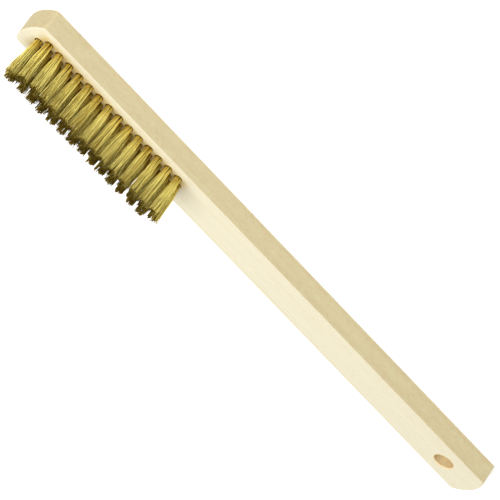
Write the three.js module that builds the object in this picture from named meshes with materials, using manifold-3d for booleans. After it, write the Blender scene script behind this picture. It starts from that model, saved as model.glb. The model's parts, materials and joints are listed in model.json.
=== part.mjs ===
// A hand wire brush: a flat beech handle with an arched nose and butt, a hang hole near the butt, and
// brass wire tufts in three staggered rows under the nose end.
//
// Each tuft is a bundle of wires folded double. It is driven into a blind hole, where a flat steel anchor
// runs through the fold and bites into the wood on both sides. The tufts and the handle have the slots
// for the anchors, which are pieces of their own and aren't part of this model.
//
// Millimetres, +Z up. The brush lies on its back with the bristles up. The origin is the middle of the
// back face, X runs along the handle towards the nose, and Y runs across it. The rows are named as seen
// from the butt towards the nose, so the right row is the one at -Y.

import * as THREE from 'three';
import { mergeVertices, toCreasedNormals } from 'three/addons/utils/BufferGeometryUtils.js';
import Module from 'manifold-3d';

// Handle board
const HANDLE_LENGTH = 290;
const HANDLE_WIDTH = 22.7;
const HANDLE_THICKNESS = 10.5;
const NOSE_RISE = 3.2; // how far the arched nose stands out past its corners
const NOSE_CORNER_RADIUS = 2.6;
const BUTT_RISE = 3.2; // the same for the butt, whose corners are left sharp
const EDGE_EASING = 0.6; // sanded round the edges of both faces
const HANG_HOLE_DIAMETER = 9.2;
const HANG_HOLE_TO_BUTT = 19.5; // from the end of the handle to the middle of the hole

// Tuft pattern
const MIDDLE_ROW_COUNT = 15; // the rows beside it have one tuft fewer, and stand half a pitch back
const TUFT_PITCH = 6.12; // from a tuft to the next one in its row
const ROW_SPACING = 4.06;
const PATTERN_SHIFT = 0.8; // how far the middle row stands off the middle of the handle, towards -Y
const FIRST_TUFT_TO_NOSE = 7.8; // from the end of the handle to the first tuft of the middle row

// Tuft holes and wire
const TUFT_HOLE_DIAMETER = 3.8;
const WOOD_BEHIND_HOLES = 3;
const DRILL_POINT_ANGLE = THREE.MathUtils.degToRad(118);
const TRIM_LENGTH = 20.4; // free length of the wire above the face
const TIP_GAP = 0.5; // between the tips of two neighbours
const TIP_ROUNDING = 0.7;

// Anchors, which the slots in the tufts and in the handle are cut for
const ANCHOR_THICKNESS = 0.5;
const ANCHOR_HEIGHT = 2;
const ANCHOR_BITE = 0.6; // how far each end reaches into the wood
const FOLD_DEPTH = 1; // wire below the anchor, above the pointed end of the fold

const FIT_CLEARANCE = 0.3; // between any two pieces that touch

// Fineness of the round surfaces
const BOARD_ARC_STEPS = 6;
const EASING_STEPS = 2;
const HANG_HOLE_SIDES = 32;
const TUFT_SIDES = 14;

const OVERCUT = 1; // how far a cutter runs past the face that it opens

// Values that follow from the sizes above
const halfLength = HANDLE_LENGTH / 2;
const halfWidth = HANDLE_WIDTH / 2;
const holeRadius = TUFT_HOLE_DIAMETER / 2;
const rootRadius = holeRadius - FIT_CLEARANCE;
const neighbourDistance = Math.min(TUFT_PITCH, Math.hypot(TUFT_PITCH / 2, ROW_SPACING));
const tipRadius = (neighbourDistance - TIP_GAP) / 2;
const pointSlope = 1 / Math.tan(DRILL_POINT_ANGLE / 2); // height of the drill point over its radius
const holeBottom = WOOD_BEHIND_HOLES;
const foldBottom = holeBottom + FIT_CLEARANCE / Math.sin(DRILL_POINT_ANGLE / 2);
const foldShoulder = foldBottom + rootRadius * pointSlope;
const anchorMiddle = foldShoulder + FOLD_DEPTH + FIT_CLEARANCE + ANCHOR_HEIGHT / 2;
const anchorLength = TUFT_HOLE_DIAMETER + 2 * ANCHOR_BITE;
const tipHeight = HANDLE_THICKNESS + TRIM_LENGTH;

const ROW_SIDES = { right: -1, middle: 0, left: 1 }; // the side of the handle that each row is on

const wasm = await Module();
wasm.setup();

// Turns a closed geometry into a solid: shared points are merged, and triangles that closed up to a
// line at an axis are dropped.
function solidFrom(geometry) {
  const bare = geometry.clone();
  bare.deleteAttribute('normal');
  bare.deleteAttribute('uv');
  const merged = mergeVertices(bare);
  const corners = merged.index.array;
  const triangles = [];
  for (let i = 0; i < corners.length; i += 3) {
    const [a, b, c] = corners.slice(i, i + 3);
    if (a !== b && b !== c && c !== a) {
      triangles.push(a, b, c);
    }
  }
  const vertProperties = new Float32Array(merged.attributes.position.array);
  const triVerts = new Uint32Array(triangles);
  return new wasm.Manifold(new wasm.Mesh({ numProp: 3, vertProperties, triVerts }));
}

// The geometry of a solid, smooth where the faces meet at a shallow angle.
function geometryFrom(solid) {
  const { vertProperties, triVerts } = solid.getMesh();
  const geometry = new THREE.BufferGeometry();
  geometry.setAttribute('position', new THREE.BufferAttribute(vertProperties, 3));
  geometry.setIndex(new THREE.BufferAttribute(triVerts, 1));
  return toCreasedNormals(geometry, Math.PI / 6);
}

// A solid of revolution about Z, from a profile of [radius, height] points that goes upwards.
function turned(profile, sides) {
  const points = profile.map(([radius, height]) => new THREE.Vector2(radius, height));
  const geometry = new THREE.LatheGeometry(points, sides);
  geometry.rotateX(Math.PI / 2);
  return solidFrom(geometry);
}

function block(sizeX, sizeY, sizeZ) {
  return solidFrom(new THREE.BoxGeometry(sizeX, sizeY, sizeZ));
}

// Radius of an arc that spans the width of the handle and rises by the given height.
function archRadius(rise) {
  return halfWidth ** 2 / (2 * rise) + rise / 2;
}

// Outline of the board from above: straight sides, an arched nose with rounded corners at +X, and an
// arched butt at -X.
function boardOutline() {
  const noseRadius = archRadius(NOSE_RISE);
  const noseCentre = halfLength - noseRadius;
  const cornerY = halfWidth - NOSE_CORNER_RADIUS;
  const cornerX = noseCentre + Math.sqrt((noseRadius - NOSE_CORNER_RADIUS) ** 2 - cornerY ** 2);
  const cornerAngle = Math.atan2(cornerY, cornerX - noseCentre);
  const buttRadius = archRadius(BUTT_RISE);
  const buttCentre = buttRadius - halfLength;
  const buttAngle = Math.asin(halfWidth / buttRadius);

  const outline = new THREE.Shape();
  outline.moveTo(BUTT_RISE - halfLength, -halfWidth);
  outline.lineTo(cornerX, -halfWidth);
  outline.absarc(cornerX, -cornerY, NOSE_CORNER_RADIUS, -Math.PI / 2, -cornerAngle);
  outline.absarc(noseCentre, 0, noseRadius, -cornerAngle, cornerAngle);
  outline.absarc(cornerX, cornerY, NOSE_CORNER_RADIUS, cornerAngle, Math.PI / 2);
  outline.lineTo(BUTT_RISE - halfLength, halfWidth);
  outline.absarc(buttCentre, 0, buttRadius, Math.PI - buttAngle, Math.PI + buttAngle);
  return outline;
}

// The board with the edges of both faces eased.
function board() {
  const geometry = new THREE.ExtrudeGeometry(boardOutline(), {
    depth: HANDLE_THICKNESS - 2 * EDGE_EASING,
    curveSegments: BOARD_ARC_STEPS,
    bevelThickness: EDGE_EASING,
    bevelSize: EDGE_EASING,
    bevelOffset: -EDGE_EASING,
    bevelSegments: EASING_STEPS,
  });
  geometry.translate(0, 0, EDGE_EASING);
  return solidFrom(geometry);
}

// Cutter for the hang hole, wider at both faces so that its rims are eased too.
function hangHole() {
  const radius = HANG_HOLE_DIAMETER / 2;
  const rimRadius = radius + EDGE_EASING;
  const profile = [
    [0, -OVERCUT],
    [rimRadius, -OVERCUT],
    [rimRadius, 0],
    [radius, EDGE_EASING],
    [radius, HANDLE_THICKNESS - EDGE_EASING],
    [rimRadius, HANDLE_THICKNESS],
    [rimRadius, HANDLE_THICKNESS + OVERCUT],
    [0, HANDLE_THICKNESS + OVERCUT],
  ];
  return turned(profile, HANG_HOLE_SIDES).translate([HANG_HOLE_TO_BUTT - halfLength, 0, 0]);
}

// Cutter for one blind tuft hole with its drill point, and for the slot that the anchor cuts in the
// wood at both sides of it.
function tuftHole() {
  const profile = [
    [0, holeBottom],
    [holeRadius, holeBottom + holeRadius * pointSlope],
    [holeRadius, HANDLE_THICKNESS + OVERCUT],
    [0, HANDLE_THICKNESS + OVERCUT],
  ];
  return turned(profile, TUFT_SIDES).add(anchorSlot());
}

// The room that an anchor takes up, with its clearance.
function anchorSlot() {
  const slot = block(
    ANCHOR_THICKNESS + 2 * FIT_CLEARANCE,
    anchorLength + 2 * FIT_CLEARANCE,
    ANCHOR_HEIGHT + 2 * FIT_CLEARANCE,
  );
  return slot.translate([0, 0, anchorMiddle]);
}

// Where the tufts of a row stand, from the nose backwards. The side is -1 for the right row, 0 for the
// middle one and 1 for the left one.
function rowPositions(side) {
  const isMiddle = side === 0;
  const count = isMiddle ? MIDDLE_ROW_COUNT : MIDDLE_ROW_COUNT - 1;
  const start = halfLength - FIRST_TUFT_TO_NOSE - (isMiddle ? 0 : TUFT_PITCH / 2);
  const y = side * ROW_SPACING - PATTERN_SHIFT;
  return Array.from({ length: count }, (_, i) => [start - i * TUFT_PITCH, y, 0]);
}

function handleSolid() {
  const positions = Object.values(ROW_SIDES).flatMap(rowPositions);
  const drilled = positions.map((position) => tuftHole().translate(position));
  return drilled.reduce((handle, hole) => handle.subtract(hole), board().subtract(hangHole()));
}

// One tuft: the pointed end of the fold in the bottom of its hole, the shank, and the free wires
// spreading to the tip. The slot for the anchor goes through the shank.
function tuftSolid() {
  const profile = [
    [0, foldBottom],
    [rootRadius, foldShoulder],
    [rootRadius, HANDLE_THICKNESS],
    [tipRadius, tipHeight - TIP_ROUNDING],
    [tipRadius - TIP_ROUNDING, tipHeight],
    [0, tipHeight],
  ];
  return turned(profile, TUFT_SIDES).subtract(anchorSlot());
}

function addMesh(group, name, geometry, position, finish) {
  const mesh = new THREE.Mesh(geometry, new THREE.MeshStandardMaterial(finish));
  mesh.name = name;
  mesh.position.set(...position);
  group.add(mesh);
}

const BEECH = { color: 0xe6d6ae, roughness: 0.62, metalness: 0 };
const BRASS = { color: 0xc9b45c, roughness: 0.35, metalness: 0.9 };

const brush = new THREE.Group();
addMesh(brush, 'handle', geometryFrom(handleSolid()), [0, 0, 0], BEECH);

const tuftGeometry = geometryFrom(tuftSolid());
for (const [row, side] of Object.entries(ROW_SIDES)) {
  rowPositions(side).forEach((position, i) => {
    const number = String(i + 1).padStart(2, '0');
    addMesh(brush, `wire_tuft_${row}_${number}`, tuftGeometry, position, BRASS);
  });
}

export default brush;
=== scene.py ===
# The looks of the hand wire brush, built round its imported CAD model.
#
# The brush lies on its back with the bristles up: X runs along the handle towards the nose, Y across it,
# and Z is the way the bristles point. Everything is in metres.

import json
import math
from random import Random

import bmesh
import bpy
from mathutils import Matrix, Vector


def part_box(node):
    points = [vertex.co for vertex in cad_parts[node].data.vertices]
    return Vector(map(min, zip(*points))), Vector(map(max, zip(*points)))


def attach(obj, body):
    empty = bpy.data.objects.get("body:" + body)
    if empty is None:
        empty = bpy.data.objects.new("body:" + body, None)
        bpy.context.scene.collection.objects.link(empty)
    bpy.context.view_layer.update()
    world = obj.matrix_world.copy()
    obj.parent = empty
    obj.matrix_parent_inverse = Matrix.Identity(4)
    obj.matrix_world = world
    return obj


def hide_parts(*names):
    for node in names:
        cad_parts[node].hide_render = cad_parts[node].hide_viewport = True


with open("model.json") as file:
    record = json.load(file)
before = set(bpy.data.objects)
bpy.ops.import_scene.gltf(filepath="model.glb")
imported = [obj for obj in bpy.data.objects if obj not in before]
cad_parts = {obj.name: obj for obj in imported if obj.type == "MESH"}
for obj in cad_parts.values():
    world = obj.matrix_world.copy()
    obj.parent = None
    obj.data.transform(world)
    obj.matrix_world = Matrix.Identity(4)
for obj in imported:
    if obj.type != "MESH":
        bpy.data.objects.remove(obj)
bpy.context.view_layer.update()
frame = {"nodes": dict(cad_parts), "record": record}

MM = 0.001

# Camera: where it stands, seen from the middle of the bristle face
CAMERA_AZIMUTH = math.radians(24.22)
CAMERA_ELEVATION = math.radians(28.07)
CAMERA_ROLL = math.radians(-145.9)
CAMERA_DISTANCE = 1.42493
AIM_RIGHT = -2.67 * MM
AIM_UP = 7.63 * MM
LENS_MM = 244.15
SENSOR_MM = 36

# Handle board
NOSE_RISE = 3.2 * MM  # how far the arched nose stands out past its corners
NOSE_CORNER_RADIUS = 2.6 * MM
BUTT_RISE = 3.2 * MM
EDGE_EASING = 0.6 * MM
HANG_HOLE_RADIUS = 4.6 * MM
TUFT_HOLE_RADIUS = 1.9 * MM
TUFT_RIM_EASING = 0.12 * MM
WOOD_BEHIND_HOLES = 3 * MM
DRILL_POINT_ANGLE = math.radians(118)

# Anchors
ANCHOR_THICKNESS = 0.5 * MM
ANCHOR_LENGTH = 5 * MM
ANCHOR_HEIGHT = 2 * MM
ANCHOR_CORNER = 0.08 * MM
ANCHOR_MIDDLE_Z = 6.61 * MM
SLOT_CLEARANCE = 0.02 * MM  # round an anchor that is wedged in the wood

# Wires
WIRE_RADIUS = 0.15 * MM
WIRE_SIDES = 6
WIRE_PITCH = 0.31 * MM  # between the middles of neighbouring wires in a tuft
BUNDLE_RADIUS = 1.47 * MM  # to the middles of the outermost wires, in the hole
LEAN_ON_WALL = (-0.08 * MM, -0.22 * MM)  # each bundle leans on one side of its hole
BEND_STEPS = 6
FREE_STEPS = 10
TIP_SPREAD = 1.34  # the width of a tuft at its tip, over its width at the root
SPREAD_SCATTER = 0.09  # from tuft to tuft
ROW_LEANS = {"right": 1.4 * MM, "middle": 1.4 * MM, "left": 2.4 * MM}  # of the tips, towards the nose
NOSE_FAN = 1.1 * MM  # how much further the first tuft leans
END_SPREAD = 0.35  # how much more the first and the last tuft spread
END_REACH = 3 * MM  # how near the first or the last tuft a tuft does the same
LEAN_SCATTER = (0.38 * MM, 0.3 * MM)  # from tuft to tuft, along the handle and across it
TIP_SCATTER = 0.34 * MM  # of the tips in a tuft
STRAY_SCATTER = 0.9 * MM  # the same for the wires that stray
STRAY_SHARE = 0.06
TRIM_SCATTER = 0.35 * MM  # how far tips end below the longest ones
BOW = 0.26 * MM  # the sideways bends of a wire between its root and its tip, in one, two and four arcs
SWAY = 0.12 * MM
KINK = 0.06 * MM
WIRE_SHARP_ANGLE = math.radians(70)
SEED = 128

# Light and floor
ROOM_LIGHT = 0.45
ROOM_SEEN = 1.1  # how bright the room is where the camera sees it
KEY_PLACE = (0.55, -0.4, 1.4)
KEY_SIZE = 1.4
KEY_WATTS = 29.5
FLOOR_HALF_SIZE = 6
FLOOR_GAP = 0.2 * MM  # below the back face
FLOOR_GLOW_NEAR = 0.37  # within GLOW_START of the middle of the brush
FLOOR_GLOW_FAR = 0.65  # past GLOW_END
GLOW_START = 0.6
GLOW_END = 2.0

# Wood
PITH_Y = 70 * MM  # the middle of the tree that the board was sawn from
PITH_Z = -25 * MM
RING_WIDTH = 2.6 * MM
TUFT_SHADE_FADE = 4 * MM  # of the painted shade and brass-coloured bounce light round the tufts on the face
ROOT_SHADE_REACH = 7.4 * MM  # of the painted shade among the roots, from the middle row
ROOT_SHADE_FADE = 1.8 * MM
FACE_COLOUR = (0.745, 0.70, 0.535)
SIDE_COLOUR = (0.59, 0.525, 0.315)
# Drilled beech in the hang hole: a warmer drilled tone of its own, lightened as painted light against the
# shade inside the hole
HANG_HOLE_LIGHTENED_COLOUR = (0.80, 0.67, 0.40)
# Drilled beech in the tuft holes: a drilled tone of its own, painted darker and more golden for the shade
# and the brass-coloured bounce light in the holes
TUFT_HOLE_SHADED_COLOUR = (0.60, 0.45, 0.22)

# Fineness of the board's curves
END_ARC_STEPS = 40
CORNER_STEPS = 10
EASING_STEPS = 4
HANG_HOLE_SIDES = 96
TUFT_HOLE_SIDES = 40
SHARP_ANGLE = math.radians(40)
FACE_TOLERANCE = 0.1 * MM  # within which a polygon counts as lying on a face of the board
TUFT_HOLE_ZONE = 3 * MM  # round a tuft's middle, wide enough for its hole and slots

handle_low, handle_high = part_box("handle")
FACE_Z = handle_high.z
HALF_LENGTH = handle_high.x
HALF_WIDTH = handle_high.y


def tuft_axes():
    """Each tuft's node, with the point where its middle meets the bristle face."""
    axes = {}
    for name in sorted(frame["nodes"]):
        if name.startswith("wire_tuft_"):
            low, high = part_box(name)
            axes[name] = Vector(((low.x + high.x) / 2, (low.y + high.y) / 2, FACE_Z))
    return axes


TUFT_AXES = tuft_axes()
FIRST_TUFT_X = max(axis.x for axis in TUFT_AXES.values())
LAST_TUFT_X = min(axis.x for axis in TUFT_AXES.values())
MIDDLE_ROW_Y = TUFT_AXES["wire_tuft_middle_01"].y
TIP_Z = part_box("wire_tuft_middle_01")[1].z


def hang_hole_x():
    openings = frame["record"]["physics"]["openings"]
    low, high = next(o["box_m"] for o in openings if o["name"] == "hang_hole")
    return (low[0] + high[0]) / 2


HANG_HOLE_X = hang_hole_x()


# ---------------------------------------------------------------- camera, floor and light

def add_camera():
    azimuth, elevation, roll = CAMERA_AZIMUTH, CAMERA_ELEVATION, CAMERA_ROLL
    back = Vector((
        math.sin(azimuth) * math.cos(elevation),
        -math.cos(azimuth) * math.cos(elevation),
        math.sin(elevation),
    ))
    level = Vector((math.cos(azimuth), math.sin(azimuth), 0))
    right = math.cos(roll) * level + math.sin(roll) * back.cross(level)
    up = back.cross(right)
    aim = Vector((0, 0, FACE_Z)) + AIM_RIGHT * right + AIM_UP * up
    data = bpy.data.cameras.new("camera")
    data.lens = LENS_MM
    data.sensor_width = SENSOR_MM
    camera = bpy.data.objects.new("camera", data)
    turn = Matrix((right, up, back)).transposed().to_4x4()
    camera.matrix_world = Matrix.Translation(aim + CAMERA_DISTANCE * back) @ turn
    bpy.context.scene.collection.objects.link(camera)
    bpy.context.scene.camera = camera


def add_softbox(name, place, size, watts):
    """A large square light that faces the brush and isn't seen itself."""
    data = bpy.data.lights.new(name, "AREA")
    data.size = size
    data.energy = watts
    light = bpy.data.objects.new(name, data)
    light.location = place
    light.rotation_euler = Vector(place).to_track_quat("Z", "Y").to_euler()
    light.visible_camera = False
    bpy.context.scene.collection.objects.link(light)


def add_world():
    """An even white room. The camera sees it a little brighter than it lights the brush."""
    world = bpy.data.worlds.new("studio")
    world.use_nodes = True
    tree = world.node_tree
    background = tree.nodes["Background"]
    path = add_node(tree, "ShaderNodeLightPath")
    strength = add_node(tree, "ShaderNodeMapRange", {"Value": path.outputs["Is Camera Ray"]})
    strength.inputs["To Min"].default_value = ROOM_LIGHT
    strength.inputs["To Max"].default_value = ROOM_SEEN
    background.inputs["Color"].default_value = (1, 1, 1, 1)
    tree.links.new(strength.outputs["Result"], background.inputs["Strength"])
    bpy.context.scene.world = world


def add_floor():
    size = FLOOR_HALF_SIZE
    mesh = bpy.data.meshes.new("floor")
    z = handle_low.z - FLOOR_GAP
    corners = [(-size, -size, z), (size, -size, z), (size, size, z), (-size, size, z)]
    mesh.from_pydata(corners, [], [(0, 1, 2, 3)])
    floor = bpy.data.objects.new("floor", mesh)
    bpy.context.scene.collection.objects.link(floor)
    mesh.materials.append(floor_material())


# ---------------------------------------------------------------- materials

def add_node(tree, kind, inputs=None, **settings):
    """Adds a node. Each input is a value, or the output that feeds it."""
    node = tree.nodes.new(kind)
    for name, value in settings.items():
        setattr(node, name, value)
    for name, value in (inputs or {}).items():
        if isinstance(value, bpy.types.NodeSocket):
            tree.links.new(value, node.inputs[name])
        else:
            node.inputs[name].default_value = value
    return node


def new_material(name):
    material = bpy.data.materials.new(name)
    material.use_nodes = True
    return material, material.node_tree, material.node_tree.nodes["Principled BSDF"]


def maths(tree, operation, a, b=0.0, clamp=False):
    node = add_node(tree, "ShaderNodeMath", {0: a, 1: b}, operation=operation, use_clamp=clamp)
    return node.outputs[0]


def stretched(tree, vector, scale):
    """The vector with each axis multiplied by its own scale."""
    node = add_node(tree, "ShaderNodeVectorMath", {0: vector, 1: scale}, operation="MULTIPLY")
    return node.outputs[0]


def noise(tree, vector, scale, detail=2.0, roughness=0.5):
    """Noise from 0 to 1, with about scale features to a metre along each axis."""
    inputs = {
        "Vector": stretched(tree, vector, scale),
        "Scale": 1.0,
        "Detail": detail,
        "Roughness": roughness,
    }
    return add_node(tree, "ShaderNodeTexNoise", inputs).outputs["Fac"]


def remap(tree, value, low, high, to_low=0.0, to_high=1.0):
    inputs = {"Value": value, "From Min": low, "From Max": high, "To Min": to_low, "To Max": to_high}
    return add_node(tree, "ShaderNodeMapRange", inputs).outputs["Result"]


def mix(tree, factor, a, b, blend="MIX"):
    node = add_node(tree, "ShaderNodeMix", data_type="RGBA", blend_type=blend)
    for socket, value in ((node.inputs[0], factor), (node.inputs[6], a), (node.inputs[7], b)):
        if isinstance(value, bpy.types.NodeSocket):
            tree.links.new(value, socket)
        elif isinstance(value, tuple):
            socket.default_value = (*value, 1)
        else:
            socket.default_value = value
    return node.outputs[2]


def floor_material():
    """A pale matt floor that glows a little, so that it stays white under the brush and far away."""
    material, tree, surface = new_material("pale_floor")
    place = add_node(tree, "ShaderNodeTexCoord").outputs["Object"]
    speckle = noise(tree, place, (40, 40, 40))
    colour = mix(tree, speckle, (0.82, 0.82, 0.82), (0.84, 0.84, 0.84))
    tree.links.new(colour, surface.inputs["Base Color"])
    surface.inputs["Roughness"].default_value = 0.9
    surface.inputs["Specular IOR Level"].default_value = 0.1
    surface.inputs["Emission Color"].default_value = (1, 1, 1, 1)
    away = add_node(tree, "ShaderNodeVectorMath", {0: place}, operation="LENGTH").outputs["Value"]
    glow = remap(tree, away, GLOW_START, GLOW_END, FLOOR_GLOW_NEAR, FLOOR_GLOW_FAR)
    tree.links.new(glow, surface.inputs["Emission Strength"])
    return material


def round_tufts(tree, axes, middle_y, reach, fade):
    """1 on the bristle face within reach of the middle line along all the tufts, fading to 0."""
    past_first = remap(tree, axes.outputs["X"], FIRST_TUFT_X + fade, FIRST_TUFT_X)
    past_last = remap(tree, axes.outputs["X"], LAST_TUFT_X - fade, LAST_TUFT_X)
    off_middle = maths(tree, "ABSOLUTE", maths(tree, "SUBTRACT", axes.outputs["Y"], middle_y))
    across = remap(tree, off_middle, reach, reach - fade)
    on_face = remap(tree, axes.outputs["Z"], FACE_Z - 0.6 * MM, FACE_Z - 0.3 * MM)
    along = maths(tree, "MULTIPLY", past_first, past_last)
    return maths(tree, "MULTIPLY", along, maths(tree, "MULTIPLY", across, on_face))


def beech_material(name, face_colour, side_colour, roughness):
    """Sawn beech: growth rings round the pith, fibres along the handle, and thin rays that run out
    from the pith and show as short flecks."""
    material, tree, surface = new_material(name)
    coordinates = add_node(tree, "ShaderNodeTexCoord")
    place = coordinates.outputs["Object"]
    wander = add_node(
        tree,
        "ShaderNodeTexNoise",
        {"Vector": stretched(tree, place, (9, 30, 30)), "Scale": 1.0, "Detail": 1.0},
    ).outputs["Color"]
    drift = add_node(tree, "ShaderNodeVectorMath", {0: wander, 1: (0.5, 0.5, 0.5)}, operation="SUBTRACT")
    warped = add_node(
        tree,
        "ShaderNodeVectorMath",
        {0: stretched(tree, drift.outputs[0], (0, 5 * MM, 5 * MM)), 1: place},
        operation="ADD",
    ).outputs[0]
    axes = add_node(tree, "ShaderNodeSeparateXYZ", {0: warped})
    from_pith_y = maths(tree, "SUBTRACT", axes.outputs["Y"], PITH_Y)
    from_pith_z = maths(tree, "SUBTRACT", axes.outputs["Z"], PITH_Z)
    flat = add_node(tree, "ShaderNodeCombineXYZ", {"Y": from_pith_y, "Z": from_pith_z})
    radius = add_node(
        tree, "ShaderNodeVectorMath", {0: flat.outputs[0]}, operation="LENGTH"
    ).outputs["Value"]
    angle = maths(tree, "ARCTAN2", from_pith_z, maths(tree, "MULTIPLY", from_pith_y, -1.0))
    round_pith = maths(tree, "MULTIPLY", angle, PITH_Y)
    grain = add_node(
        tree, "ShaderNodeCombineXYZ", {"X": axes.outputs["X"], "Y": round_pith, "Z": radius}
    ).outputs[0]

    ring = maths(tree, "FRACT", maths(tree, "DIVIDE", radius, RING_WIDTH))
    late = maths(tree, "MULTIPLY", remap(tree, ring, 0.45, 0.93), remap(tree, ring, 1.0, 0.95))
    tone = noise(tree, grain, (7, 90, 160), detail=3.0)
    blotch = remap(tree, noise(tree, grain, (160, 300, 300), detail=3.0, roughness=0.7), 0.4, 0.6)
    fibre = noise(tree, grain, (35, 2600, 2600), detail=3.0, roughness=0.6)
    ray = remap(tree, noise(tree, grain, (420, 3600, 160), detail=1.0), 0.60, 0.70)
    pore = remap(tree, noise(tree, grain, (900, 9000, 9000), detail=1.0), 0.66, 0.74)

    out = add_node(tree, "ShaderNodeSeparateXYZ", {0: coordinates.outputs["Normal"]})
    side = remap(tree, maths(tree, "ABSOLUTE", out.outputs["Z"]), 0.9, 0.3)
    end = remap(tree, maths(tree, "ABSOLUTE", out.outputs["X"]), 0.55, 0.9)

    colour = mix(tree, side, face_colour, side_colour)
    colour = mix(tree, remap(tree, tone, 0.3, 0.7, 0.0, 0.5), colour, (0.93, 0.90, 0.86), "MULTIPLY")
    colour = mix(tree, maths(tree, "MULTIPLY", late, 0.2), colour, (0.88, 0.80, 0.70), "MULTIPLY")
    colour = mix(tree, maths(tree, "MULTIPLY", blotch, side), colour, (0.98, 0.94, 0.93), "MULTIPLY")
    # Painted shade with a brass-coloured cast round the tufts, where the wires shade the face and throw
    # their colour on it
    tuft_shade = round_tufts(tree, axes, 0, HALF_WIDTH - MM, TUFT_SHADE_FADE)
    colour = mix(tree, tuft_shade, colour, (0.86, 0.77, 0.50), "MULTIPLY")
    # Painted shade among the tuft roots, with a warm cast
    between = round_tufts(tree, axes, MIDDLE_ROW_Y, ROOT_SHADE_REACH, ROOT_SHADE_FADE)
    colour = mix(tree, between, colour, (0.95, 0.88, 0.78), "MULTIPLY")
    colour = mix(tree, remap(tree, fibre, 0.35, 0.65, 0.0, 0.5), colour, (0.93, 0.90, 0.85), "MULTIPLY")
    fleck = maths(tree, "MULTIPLY", ray, remap(tree, side, 0.0, 1.0, 0.3, 0.75))
    colour = mix(tree, fleck, colour, (0.86, 0.78, 0.66), "MULTIPLY")
    colour = mix(tree, maths(tree, "MULTIPLY", pore, 0.4), colour, (0.80, 0.70, 0.56), "MULTIPLY")
    colour = mix(tree, maths(tree, "MULTIPLY", end, 0.6), colour, (0.88, 0.82, 0.74), "MULTIPLY")
    tree.links.new(colour, surface.inputs["Base Color"])

    shine = remap(tree, fibre, 0.3, 0.7, roughness - 0.06, roughness + 0.06)
    shine = maths(tree, "SUBTRACT", shine, maths(tree, "MULTIPLY", ray, 0.08))
    tree.links.new(shine, surface.inputs["Roughness"])
    surface.inputs["Specular IOR Level"].default_value = 0.35

    relief = maths(tree, "SUBTRACT", maths(tree, "MULTIPLY", fibre, 0.5), pore)
    bump = add_node(tree, "ShaderNodeBump", {"Height": relief, "Strength": 0.25, "Distance": 0.03 * MM})
    tree.links.new(bump.outputs["Normal"], surface.inputs["Normal"])
    return material


def brass_material():
    """Drawn brass wire: golden at the root, a painted reflection of the wood and the brass round it, and
    paler higher up, then darker towards the tip and darkest brown at the tip, both painted shade, with a
    tarnished mottling and its own tone for each wire."""
    material, tree, surface = new_material("brass_wire")
    place = add_node(tree, "ShaderNodeTexCoord").outputs["Object"]
    along = add_node(tree, "ShaderNodeAttribute", attribute_name="along").outputs["Fac"]
    tone = add_node(tree, "ShaderNodeAttribute", attribute_name="tone").outputs["Fac"]
    mottle = noise(tree, place, (900, 900, 260), detail=3.0)
    # painted reflection: golden at the root for the wood and the brass that it mirrors there
    colour = mix(tree, remap(tree, along, 0.0, 0.35), (0.92, 0.74, 0.18), (0.93, 0.84, 0.28))
    # painted shade: darker towards the tip
    colour = mix(tree, remap(tree, along, 0.3, 1.0), colour, (0.62, 0.59, 0.54), "MULTIPLY")
    # painted shade: darkest brown at the very tip, among the cut ends
    colour = mix(tree, remap(tree, along, 0.97, 1.0, 0.0, 0.6), colour, (0.60, 0.47, 0.26), "MULTIPLY")
    colour = mix(tree, remap(tree, tone, 0.4, 1.0), colour, (0.62, 0.52, 0.28), "MULTIPLY")
    colour = mix(tree, remap(tree, mottle, 0.45, 0.7, 0.0, 0.6), colour, (0.84, 0.78, 0.62), "MULTIPLY")
    tree.links.new(colour, surface.inputs["Base Color"])
    tree.links.new(remap(tree, mottle, 0.3, 0.7, 0.24, 0.42), surface.inputs["Roughness"])
    surface.inputs["Metallic"].default_value = 1.0
    surface.inputs["Specular Tint"].default_value = (1.0, 0.85, 0.42, 1)
    drawn = noise(tree, place, (14000, 14000, 400), detail=1.0)
    bump = add_node(tree, "ShaderNodeBump", {"Height": drawn, "Strength": 0.15, "Distance": 0.01 * MM})
    tree.links.new(bump.outputs["Normal"], surface.inputs["Normal"])
    return material


def cut_brass_material():
    """The cut ends of the wires, dull, and painted dark brown for the shade on them."""
    material, tree, surface = new_material("brass_cut_shaded")
    place = add_node(tree, "ShaderNodeTexCoord").outputs["Object"]
    burr = noise(tree, place, (6000, 6000, 6000))
    # painted shade: the cut ends are dark brown, mottled by the burr
    colour = mix(tree, remap(tree, burr, 0.35, 0.65), (0.13, 0.072, 0.007), (0.40, 0.28, 0.034))
    tree.links.new(colour, surface.inputs["Base Color"])
    tree.links.new(remap(tree, burr, 0.3, 0.7, 0.45, 0.65), surface.inputs["Roughness"])
    surface.inputs["Metallic"].default_value = 1.0
    surface.inputs["Specular Tint"].default_value = (1.0, 0.80, 0.35, 1)
    bump = add_node(tree, "ShaderNodeBump", {"Height": burr, "Strength": 0.3, "Distance": 0.02 * MM})
    tree.links.new(bump.outputs["Normal"], surface.inputs["Normal"])
    return material


def steel_material():
    """Flat steel wire with fine lines along it."""
    material, tree, surface = new_material("anchor_steel")
    place = add_node(tree, "ShaderNodeTexCoord").outputs["Object"]
    lines = noise(tree, place, (9000, 500, 9000), detail=2.0)
    colour = mix(tree, lines, (0.50, 0.51, 0.53), (0.66, 0.67, 0.69))
    tree.links.new(colour, surface.inputs["Base Color"])
    tree.links.new(remap(tree, lines, 0.3, 0.7, 0.3, 0.5), surface.inputs["Roughness"])
    surface.inputs["Metallic"].default_value = 1.0
    bump = add_node(tree, "ShaderNodeBump", {"Height": lines, "Strength": 0.2, "Distance": 0.01 * MM})
    tree.links.new(bump.outputs["Normal"], surface.inputs["Normal"])
    return material


# ---------------------------------------------------------------- handle

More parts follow.
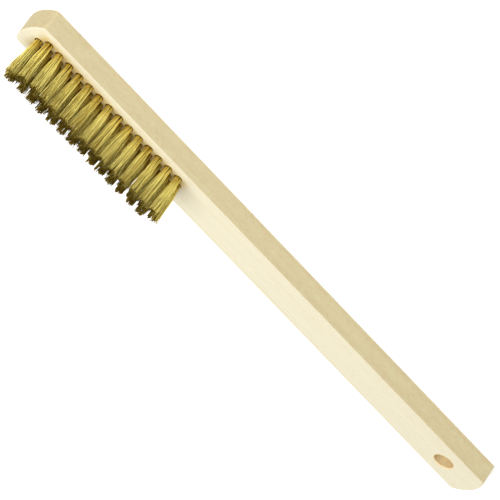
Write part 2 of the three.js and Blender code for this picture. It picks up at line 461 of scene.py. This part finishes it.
def arc(centre_x, centre_y, radius, start, end, steps):
    """Points from one angle to the other, both ends included."""
    angles = [start + (end - start) * i / steps for i in range(steps + 1)]
    return [(centre_x + radius * math.cos(a), centre_y + radius * math.sin(a)) for a in angles]


def board_outline(inset):
    """The board from above, counter-clockwise, moved inwards by the inset."""
    half_width = HALF_WIDTH - inset
    nose_radius = HALF_WIDTH**2 / (2 * NOSE_RISE) + NOSE_RISE / 2
    nose_centre = HALF_LENGTH - nose_radius
    corner_y = HALF_WIDTH - NOSE_CORNER_RADIUS
    corner_x = nose_centre + math.sqrt((nose_radius - NOSE_CORNER_RADIUS) ** 2 - corner_y**2)
    corner_angle = math.atan2(corner_y, corner_x - nose_centre)
    butt_radius = HALF_WIDTH**2 / (2 * BUTT_RISE) + BUTT_RISE / 2
    butt_centre = butt_radius - HALF_LENGTH
    butt_angle = math.asin(half_width / (butt_radius - inset))
    quarter = math.pi / 2
    corner_radius = NOSE_CORNER_RADIUS - inset
    right = arc(corner_x, -corner_y, corner_radius, -quarter, -corner_angle, CORNER_STEPS)
    nose = arc(nose_centre, 0, nose_radius - inset, -corner_angle, corner_angle, END_ARC_STEPS)
    left = arc(corner_x, corner_y, corner_radius, corner_angle, quarter, CORNER_STEPS)
    butt = arc(
        butt_centre, 0, butt_radius - inset, math.pi - butt_angle, math.pi + butt_angle, END_ARC_STEPS
    )
    return right + nose[1:-1] + left + butt


def lofted(name, rings):
    """A closed mesh through rings of points, with a flat face at either end."""
    count = len(rings[0])
    points = [point for ring in rings for point in ring]
    faces = [tuple(reversed(range(count)))]
    for k in range(len(rings) - 1):
        for i in range(count):
            j = (i + 1) % count
            faces.append((k * count + i, k * count + j, (k + 1) * count + j, (k + 1) * count + i))
    faces.append(tuple(range(len(points) - count, len(points))))
    mesh = bpy.data.meshes.new(name)
    mesh.from_pydata(points, [], faces)
    return mesh


def board_mesh():
    """The board with the edges of both faces rounded over."""
    rings = []
    for i in range(EASING_STEPS + 1):
        turn = i / EASING_STEPS * math.pi / 2
        inset = EDGE_EASING * (1 - math.sin(turn))
        z = handle_low.z + EDGE_EASING * (1 - math.cos(turn))
        rings.append([(x, y, z) for x, y in board_outline(inset)])
    top = handle_low.z + FACE_Z
    rings += [[(x, y, top - z) for x, y, z in ring] for ring in reversed(rings)]
    return lofted("handle_board", rings)


def turned(name, profile, sides, x, y):
    """A solid of revolution about an upright axis, from (radius, height) points going upwards."""
    rings = []
    for radius, z in profile:
        angles = [2 * math.pi * i / sides for i in range(sides)]
        rings.append([(x + radius * math.cos(a), y + radius * math.sin(a), z) for a in angles])
    return lofted(name, rings)


def rim(radius, easing, z_edge, outwards):
    """Profile points of a rounded rim, from the wall of a hole out to the face. Outwards is 1 for the
    bristle face and -1 for the back."""
    points = []
    for i in range(EASING_STEPS + 1):
        turn = i / EASING_STEPS * math.pi / 2
        height = z_edge - outwards * easing * (1 - math.sin(turn))
        points.append((radius + easing * (1 - math.cos(turn)), height))
    return points


def hang_hole_cutter():
    low = rim(HANG_HOLE_RADIUS, EDGE_EASING, handle_low.z, -1)
    high = rim(HANG_HOLE_RADIUS, EDGE_EASING, FACE_Z, 1)
    wide = HANG_HOLE_RADIUS + EDGE_EASING
    profile = [(wide, handle_low.z - MM), *reversed(low), *high, (wide, FACE_Z + MM)]
    return turned("hang_hole", profile, HANG_HOLE_SIDES, HANG_HOLE_X, 0)


def tuft_hole_cutter(place):
    """A blind hole with a drill point and a worn rim."""
    point = 0.01 * MM
    shoulder = WOOD_BEHIND_HOLES + TUFT_HOLE_RADIUS / math.tan(DRILL_POINT_ANGLE / 2)
    wide = TUFT_HOLE_RADIUS + TUFT_RIM_EASING
    profile = [
        (point, WOOD_BEHIND_HOLES),
        (TUFT_HOLE_RADIUS, shoulder),
        *rim(TUFT_HOLE_RADIUS, TUFT_RIM_EASING, FACE_Z, 1),
        (wide, FACE_Z + MM),
    ]
    return turned("tuft_hole", profile, TUFT_HOLE_SIDES, place.x, place.y)


def slot_cutter(axis):
    """The slot that an anchor has cut for itself in the wood."""
    half = Vector((ANCHOR_THICKNESS, ANCHOR_LENGTH, ANCHOR_HEIGHT)) / 2
    half += Vector((SLOT_CLEARANCE, SLOT_CLEARANCE, SLOT_CLEARANCE))
    corners = [(-half.x, -half.y), (half.x, -half.y), (half.x, half.y), (-half.x, half.y)]
    outline = [(axis.x + x, axis.y + y) for x, y in corners]
    heights = (ANCHOR_MIDDLE_Z - half.z, ANCHOR_MIDDLE_Z + half.z)
    return lofted("slot", [[(x, y, z) for x, y in outline] for z in heights])


def joined(name, meshes):
    whole = bmesh.new()
    for mesh in meshes:
        whole.from_mesh(mesh)
        bpy.data.meshes.remove(mesh)
    mesh = bpy.data.meshes.new(name)
    whole.to_mesh(mesh)
    whole.free()
    return mesh


def new_piece(name, mesh):
    piece = bpy.data.objects.new(name, mesh)
    bpy.context.scene.collection.objects.link(piece)
    return piece


def add_piece(name, mesh, node=None, place=(0, 0, 0)):
    """Adds a finished piece of the brush. It replaces the CAD node, if one is given."""
    piece = new_piece(name, mesh)
    piece.location = place
    if node:
        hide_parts(node)
    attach(piece, "root")
    return piece


def apply_modifiers(piece):
    bpy.context.view_layer.update()
    evaluated = piece.evaluated_get(bpy.context.evaluated_depsgraph_get())
    mesh = bpy.data.meshes.new_from_object(evaluated)
    piece.modifiers.clear()
    piece.data = mesh


def cut(piece, cutter_mesh):
    cutter = new_piece("cutter", cutter_mesh)
    modifier = piece.modifiers.new("cut", "BOOLEAN")
    modifier.object = cutter
    modifier.operation = "DIFFERENCE"
    modifier.solver = "EXACT"
    apply_modifiers(piece)
    bpy.data.objects.remove(cutter)


def drilled_part(polygon):
    """0 for the outside of the board, 1 for the wall and rim of the hang hole, and 2 for a tuft hole."""
    x, y, z = polygon.center
    on_face = z > FACE_Z - FACE_TOLERANCE or z < handle_low.z + FACE_TOLERANCE
    if abs(polygon.normal.z) > 0.999 and on_face:
        return 0
    if math.hypot(x - HANG_HOLE_X, y) < HANG_HOLE_RADIUS + EDGE_EASING:
        return 1
    by_tuft = any(math.hypot(x - a.x, y - a.y) < TUFT_HOLE_ZONE for a in TUFT_AXES.values())
    return 2 if by_tuft else 0


def add_handle():
    handle = new_piece("handle_board", board_mesh())
    holes = [hang_hole_cutter()] + [tuft_hole_cutter(axis) for axis in TUFT_AXES.values()]
    cut(handle, joined("holes", holes))
    cut(handle, joined("slots", [slot_cutter(axis) for axis in TUFT_AXES.values()]))
    mesh = handle.data
    mesh.materials.clear()
    mesh.materials.append(beech_material("beech", FACE_COLOUR, SIDE_COLOUR, 0.6))
    # the hang hole's wall, lightened with painted light
    mesh.materials.append(beech_material("beech_hang_hole_lightened", HANG_HOLE_LIGHTENED_COLOUR, HANG_HOLE_LIGHTENED_COLOUR, 0.75))
    # the tuft holes' walls, with painted shade
    mesh.materials.append(beech_material("beech_tuft_hole_shaded", TUFT_HOLE_SHADED_COLOUR, TUFT_HOLE_SHADED_COLOUR, 0.8))
    for polygon in mesh.polygons:
        polygon.material_index = drilled_part(polygon)
    mesh.shade_smooth()
    mesh.set_sharp_from_angle(angle=SHARP_ANGLE)
    weighted = handle.modifiers.new("weighted", "WEIGHTED_NORMAL")
    weighted.keep_sharp = True
    apply_modifiers(handle)
    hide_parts("handle")
    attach(handle, "root")


# ---------------------------------------------------------------- tufts

def leg_places():
    """Where the two legs of each folded wire stand in the hole, as (distance from the anchor's middle,
    place along the anchor). The wires lie in layers on both sides of the anchor."""
    distance = ANCHOR_THICKNESS / 2 + WIRE_RADIUS
    places = []
    while distance < BUNDLE_RADIUS:
        reach = math.sqrt(BUNDLE_RADIUS**2 - distance**2)
        count = int(2 * reach / WIRE_PITCH) + 1
        places += [(distance, (i - (count - 1) / 2) * WIRE_PITCH) for i in range(count)]
        distance += 2 * WIRE_RADIUS
    return places


LEG_PLACES = leg_places()


def free_leg(random, foot, axis, lean, spread):
    """The line of one wire from the mouth of the hole to its tip. Most spread evenly, and a few stray."""
    stray = random.random() < STRAY_SHARE
    scatter = STRAY_SCATTER if stray else TIP_SCATTER
    out = (foot - axis) * spread + axis
    tip = Vector((
        out.x + lean.x + random.gauss(0, scatter),
        out.y + lean.y + random.gauss(0, scatter),
        TIP_Z - abs(random.gauss(0, TRIM_SCATTER)),
    ))
    bow = Vector((random.gauss(0, BOW), random.gauss(0, BOW), 0))
    sway = Vector((random.gauss(0, SWAY), random.gauss(0, SWAY), 0))
    kink = Vector((random.gauss(0, KINK), random.gauss(0, KINK), 0))
    line = []
    for i in range(1, FREE_STEPS + 1):
        t = i / FREE_STEPS
        point = foot.lerp(tip, t)
        turn = math.pi * t
        line.append(point + bow * math.sin(turn) + sway * math.sin(2 * turn) + kink * math.sin(4 * turn))
    return line


def wire_line(random, axis, distance, y, lean, spread):
    """One folded wire: down from a tip, round under the anchor, and up to the other tip."""
    anchor_foot = ANCHOR_MIDDLE_Z - ANCHOR_HEIGHT / 2
    shift = Vector((*LEAN_ON_WALL, 0))
    legs = []
    for side in (1, -1):
        low = Vector((axis.x + side * distance, axis.y + y, anchor_foot))
        foot = Vector((low.x, low.y, FACE_Z)) + shift
        hidden = [low.lerp(foot, 0.4), low.lerp(foot, 0.9)]
        legs.append(hidden + free_leg(random, foot, axis + shift, lean, spread))
    bend = []
    for i in range(BEND_STEPS + 1):
        turn = math.pi * i / BEND_STEPS
        x = axis.x + distance * math.cos(turn)
        bend.append(Vector((x, axis.y + y, anchor_foot - distance * math.sin(turn))))
    return list(reversed(legs[0])) + bend + legs[1]


class WireBundle:
    """The mesh of a tuft, built up one wire at a time."""

    def __init__(self):
        self.points = []
        self.faces = []
        self.cut_faces = []
        self.along = []
        self.tone = []
        self.strips = []

    def add_wire(self, line, tone):
        """Sweeps the round section of the wire along its line, with a flat cut at each end."""
        start = len(self.points)
        across = Vector((0, 1, 0))
        for i, centre in enumerate(line):
            ahead = (line[min(i + 1, len(line) - 1)] - line[max(i - 1, 0)]).normalized()
            first = (across - across.dot(ahead) * ahead).normalized()
            second = ahead.cross(first)
            for k in range(WIRE_SIDES):
                turn = 2 * math.pi * k / WIRE_SIDES
                self.points.append(centre + WIRE_RADIUS * (math.cos(turn) * first + math.sin(turn) * second))
            height = max(0.0, (centre.z - FACE_Z) / (TIP_Z - FACE_Z))
            self.along += [height] * WIRE_SIDES
            self.tone += [tone] * WIRE_SIDES
        steps = len(line) - 1
        for i in range(steps):
            ring = start + i * WIRE_SIDES
            for k in range(WIRE_SIDES):
                j = (k + 1) % WIRE_SIDES
                self.faces.append((ring + k, ring + j, ring + WIRE_SIDES + j, ring + WIRE_SIDES + k))
                self.strips.append([(k, i), (k + 1, i), (k + 1, i + 1), (k, i + 1)])
        for corners, step in ((reversed(range(WIRE_SIDES)), 0), (range(WIRE_SIDES), steps)):
            self.cut_faces.append(len(self.faces))
            self.faces.append(tuple(start + step * WIRE_SIDES + k for k in corners))
            self.strips.append([(k, step) for k in range(WIRE_SIDES)])

    def mesh(self, name, materials):
        mesh = bpy.data.meshes.new(name)
        mesh.from_pydata(self.points, [], self.faces)
        for attribute, values in (("along", self.along), ("tone", self.tone)):
            mesh.attributes.new(attribute, "FLOAT", "POINT").data.foreach_set("value", values)
        for material in materials:
            mesh.materials.append(material)
        for index in self.cut_faces:
            mesh.polygons[index].material_index = 1
        self.unwrap(mesh)
        mesh.shade_smooth()
        mesh.set_sharp_from_angle(angle=WIRE_SHARP_ANGLE)
        return mesh

    def unwrap(self, mesh):
        """Lays each wire out as an upright strip of the texture, so that a bake keeps it clean."""
        layer = mesh.uv_layers.new(name="OFBake")
        wires = len(self.cut_faces) // 2
        per_wire = len(self.faces) // wires
        steps = per_wire // WIRE_SIDES
        uvs = []
        for index, corners in enumerate(self.strips):
            wire = index // per_wire
            for k, i in corners:
                uvs += [(wire + 0.1 + 0.8 * k / WIRE_SIDES) / wires, 0.02 + 0.96 * i / steps]
        layer.data.foreach_set("uv", uvs)


def add_tuft(seed, node, axis, materials):
    random = Random(seed)
    row = node.split("_")[2]
    at_nose = max(0.0, 1 - (FIRST_TUFT_X - axis.x) / END_REACH)
    at_butt = max(0.0, 1 - (axis.x - LAST_TUFT_X) / END_REACH)
    lean_x = ROW_LEANS[row] + NOSE_FAN * at_nose + random.gauss(0, LEAN_SCATTER[0])
    lean = Vector((lean_x, random.gauss(0, LEAN_SCATTER[1]), 0))
    spread = TIP_SPREAD + END_SPREAD * (at_nose + at_butt) + random.gauss(0, SPREAD_SCATTER)
    bundle = WireBundle()
    for distance, y in LEG_PLACES:
        line = wire_line(random, axis, distance, y, lean, spread)
        bundle.add_wire(line, random.random())
    name = node.replace("wire_tuft", "tuft_wires")
    add_piece(name, bundle.mesh(name, materials), node)


def anchor_mesh(material):
    """A short piece of flat wire with rounded corners, about its own middle."""
    corner_x = ANCHOR_THICKNESS / 2 - ANCHOR_CORNER
    corner_z = ANCHOR_HEIGHT / 2 - ANCHOR_CORNER
    quarter = math.pi / 2
    section = []
    for i, (x, z) in enumerate(((1, 1), (-1, 1), (-1, -1), (1, -1))):
        section += arc(x * corner_x, z * corner_z, ANCHOR_CORNER, i * quarter, (i + 1) * quarter, 4)
    ends = (ANCHOR_LENGTH / 2, -ANCHOR_LENGTH / 2)
    mesh = lofted("tuft_anchor", [[(x, y, z) for x, z in section] for y in ends])
    mesh.materials.append(material)
    mesh.shade_smooth()
    mesh.set_sharp_from_angle(angle=SHARP_ANGLE)
    return mesh


def add_anchor(node, axis, mesh):
    name = node.replace("wire_tuft", "tuft_anchor")
    add_piece(name, mesh, place=(axis.x, axis.y, ANCHOR_MIDDLE_Z))


# ---------------------------------------------------------------- the whole

add_camera()
add_world()
add_floor()
add_softbox("key", KEY_PLACE, KEY_SIZE, KEY_WATTS)
add_handle()
wire_materials = [brass_material(), cut_brass_material()]
anchor = anchor_mesh(steel_material())
for seed, (node, axis) in enumerate(TUFT_AXES.items(), start=SEED):
    add_tuft(seed, node, axis, wire_materials)
    add_anchor(node, axis, anchor)

bpy.context.scene.view_settings.view_transform = "Standard"
